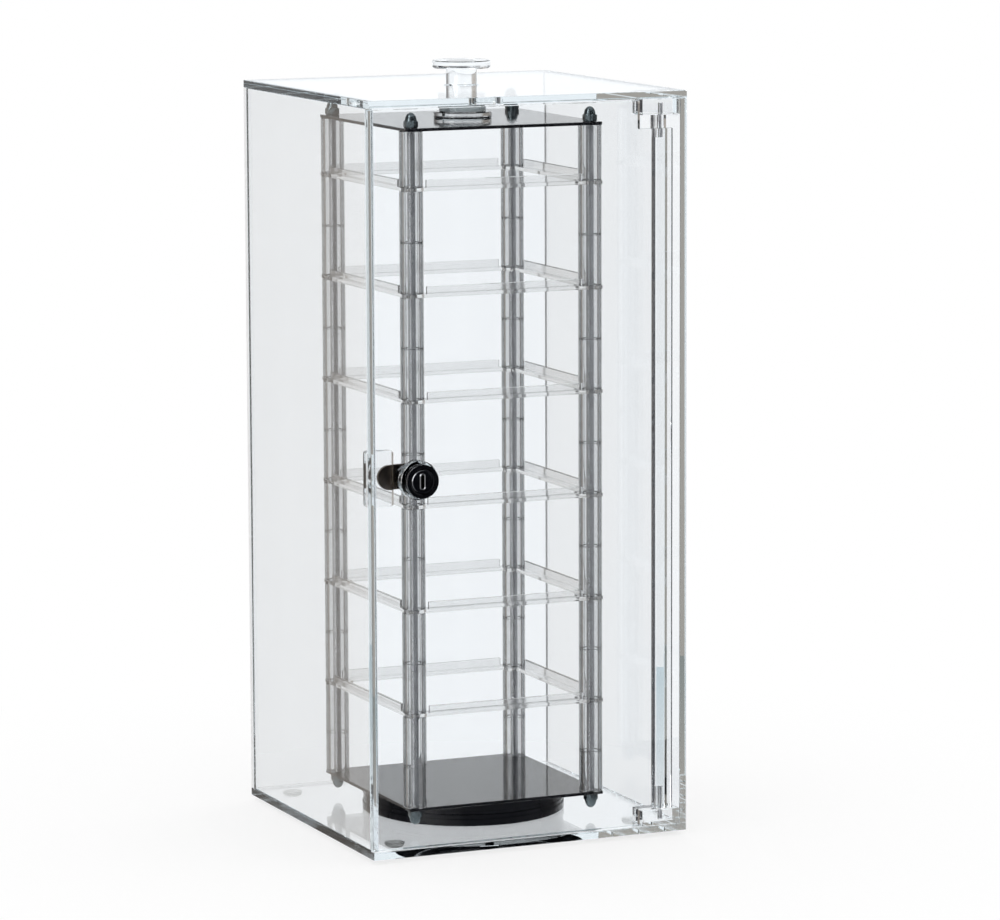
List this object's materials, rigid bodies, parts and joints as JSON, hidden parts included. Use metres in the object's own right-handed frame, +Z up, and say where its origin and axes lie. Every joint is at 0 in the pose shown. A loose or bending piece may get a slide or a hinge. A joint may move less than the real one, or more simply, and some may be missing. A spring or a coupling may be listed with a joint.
{
  "type": "rotating earring display case",
  "caption": "Tall clear case with a hinged, lockable front door and a tower of open trays on black plates that turns on a ball turntable by a knob above the lid.",
  "frame": {"origin": "on the floor, in the middle of the box round the whole object", "axes": "+X to the right and +Y to the back as seen from the door, +Z up along the tower's axis"},
  "size_m": [0.215, 0.2266, 0.491],
  "materials": {
    "clear_panel": "clear cast acrylic, polished edges",
    "clear_block": "clear acrylic blocks, cemented",
    "clear_knob": "clear acrylic discs, polished",
    "clear_tray": "clear moulded styrene",
    "clear_tube": "clear extruded acrylic tube",
    "bumper": "clear soft bumper",
    "black_sheet": "black acrylic sheet, glossy",
    "black_ring": "black moulded plastic, satin",
    "threaded_steel": "zinc-plated threaded rod",
    "bright_nut": "nickel-plated dome nut",
    "steel_part": "plain bright steel",
    "lock_black": "black-plated die-cast zinc",
    "lock_bronze": "dark bronze-plated steel"
  },
  "bodies": {
    "case": {"base_panel": "clear_panel", "top_panel": "clear_panel", "left_panel": "clear_panel", "right_panel": "clear_panel", "back_panel": "clear_panel", "strike_plate": "clear_block", "upper_hinge_block": "clear_block", "lower_hinge_block": "clear_block", "bumper_feet": "bumper", "turntable_lower_ring": "black_ring", "turntable_rivet": "steel_part"},
    "door": {"door_panel": "clear_panel", "door_stile": "clear_block", "upper_hinge_pin": "steel_part", "lower_hinge_pin": "steel_part", "lock_housing": "lock_black", "lock_collar": "clear_block", "lock_nut": "lock_black"},
    "lock": {"lock_plug": "lock_black", "lock_cam": "lock_bronze", "cam_screw": "steel_part"},
    "tower": {"turntable_upper_ring": "black_ring", "tower_lower_plate": "black_sheet", "tower_upper_plate": "black_sheet", "tray_1": "clear_tray", "tray_2": "clear_tray", "tray_3": "clear_tray", "tray_4": "clear_tray", "tray_5": "clear_tray", "tray_6": "clear_tray", "front_left_tubes": "clear_tube", "front_right_tubes": "clear_tube", "back_left_tubes": "clear_tube", "back_right_tubes": "clear_tube", "front_left_rod": "threaded_steel", "front_right_rod": "threaded_steel", "back_left_rod": "threaded_steel", "back_right_rod": "threaded_steel", "upper_acorn_nuts": "bright_nut", "lower_acorn_nuts": "bright_nut", "knob_flange": "clear_knob", "knob_hub": "clear_knob", "knob_stem": "clear_knob", "knob_cap": "clear_knob"},
    "ball_ring": {"ball_cage": "steel_part", "bearing_balls": "steel_part"}
  },
  "joints": [
    {"name": "door_swing", "type": "hinge", "parent": "case", "child": "door", "pos_m": [0.0915, -0.0934, 0.2408], "axis": [0, 0, 1], "range_deg": [0, 100]},
    {"name": "lock_turn", "type": "hinge", "parent": "door", "child": "lock", "pos_m": [-0.0775, -0.1017, 0.2408], "axis": [0, 1, 0], "range_deg": [0, 90]},
    {"name": "tower_spin", "type": "hinge", "parent": "case", "child": "tower", "pos_m": [0, 0.0058, 0.0225], "axis": [0, 0, 1], "continuous": true},
    {"name": "ball_ring_spin", "type": "hinge", "parent": "case", "child": "ball_ring", "pos_m": [0, 0.0058, 0.01465], "axis": [0, 0, 1], "continuous": true}
  ],
  "couplings": [
    {"joint": "ball_ring_spin", "follows": "tower_spin", "ratio": 0.5}
  ]
}
